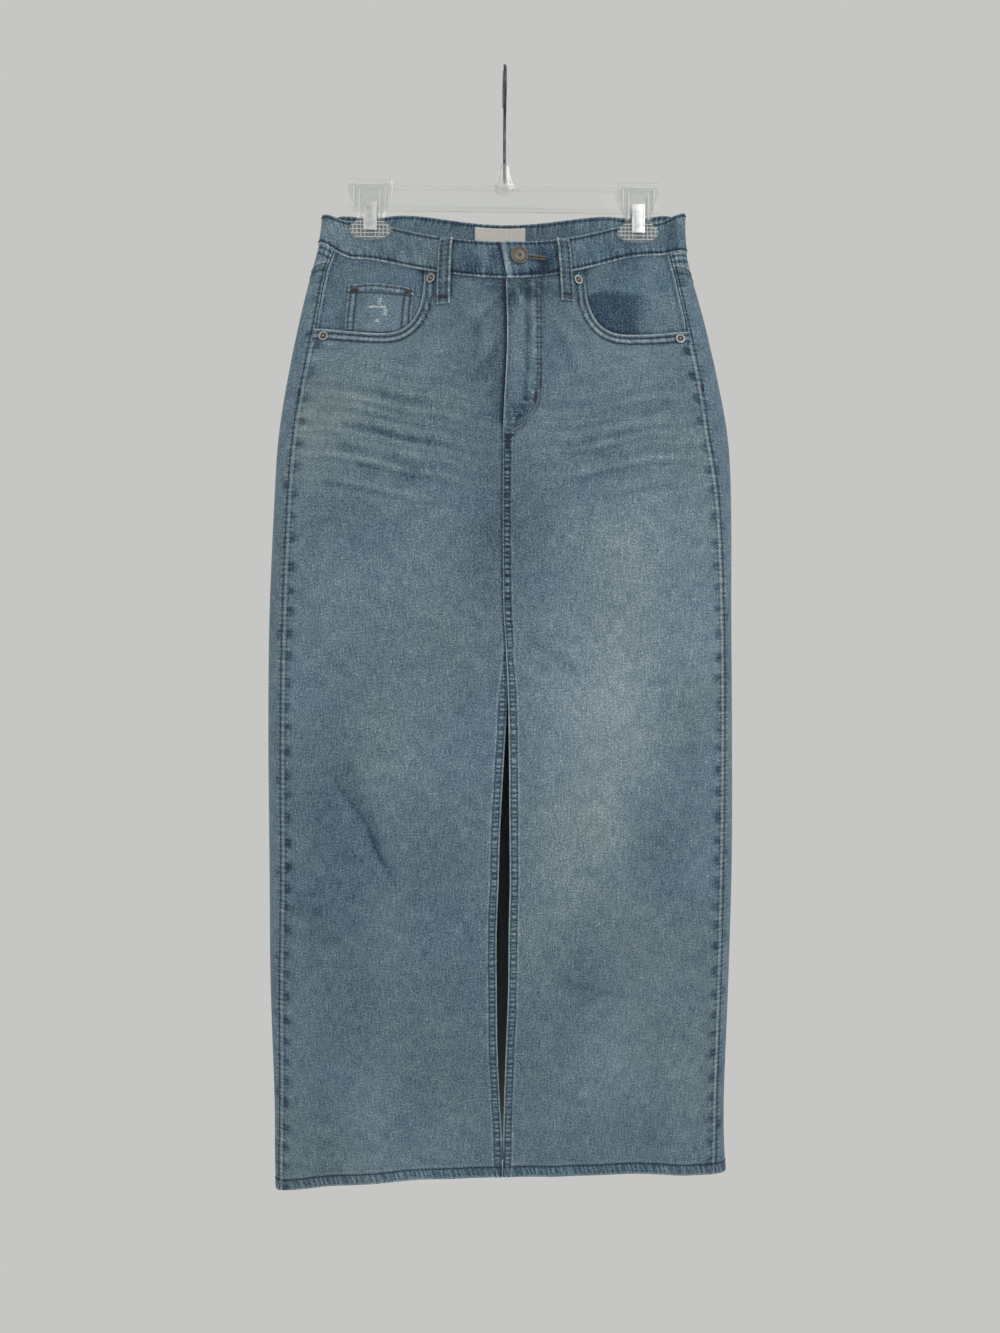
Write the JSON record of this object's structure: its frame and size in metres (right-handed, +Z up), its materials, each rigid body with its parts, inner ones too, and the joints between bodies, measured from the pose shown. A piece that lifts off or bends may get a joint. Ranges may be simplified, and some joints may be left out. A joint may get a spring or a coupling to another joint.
{
  "type": "denim skirt on a clip hanger",
  "caption": "Long straight denim skirt with a fly front, scoop pockets and a centre-front slit, hanging by its waistband from a clear clip hanger.",
  "frame": {"origin": "inner top of the hanger's hook, where it rests on the rail or hook that holds it", "axes": "+Z up, +X to the right of someone facing the skirt's front, the front towards -Y"},
  "size_m": [0.4687, 0.1028, 1.1109],
  "materials": {
    "denim": "light-washed cotton twill",
    "zip_tape": "woven tape with a metal chain",
    "label_cloth": "plain woven",
    "button_metal": "antique nickel, satin",
    "rivet_metal": "nickel, satin",
    "clear_plastic": "clear moulded polystyrene",
    "wire_steel": "dark plated wire",
    "spring_steel": "bright pressed strip"
  },
  "bodies": {
    "root": {"front_right": "denim", "front_left": "denim", "back_right": "denim", "back_left": "denim", "back_yoke_right": "denim", "back_yoke_left": "denim", "waistband_right": "denim", "waistband_left": "denim", "pocket_facing_right": "denim", "pocket_facing_left": "denim", "coin_pocket": "denim", "belt_loop_front_right": "denim", "belt_loop_front_left": "denim", "belt_loop_back_right": "denim", "belt_loop_back_middle": "denim", "belt_loop_back_left": "denim", "zip": "zip_tape", "label": "label_cloth", "button": "button_metal", "rivet_front_right": "rivet_metal", "rivet_side_right": "rivet_metal", "rivet_front_left": "rivet_metal", "rivet_side_left": "rivet_metal", "hanger_bar": "clear_plastic", "clip_right_front_jaw": "clear_plastic", "clip_right_back_jaw": "clear_plastic", "clip_left_front_jaw": "clear_plastic", "clip_left_back_jaw": "clear_plastic", "hanger_hook": "wire_steel", "clip_right_spring": "spring_steel", "clip_left_spring": "spring_steel"}
  },
  "joints": []
}
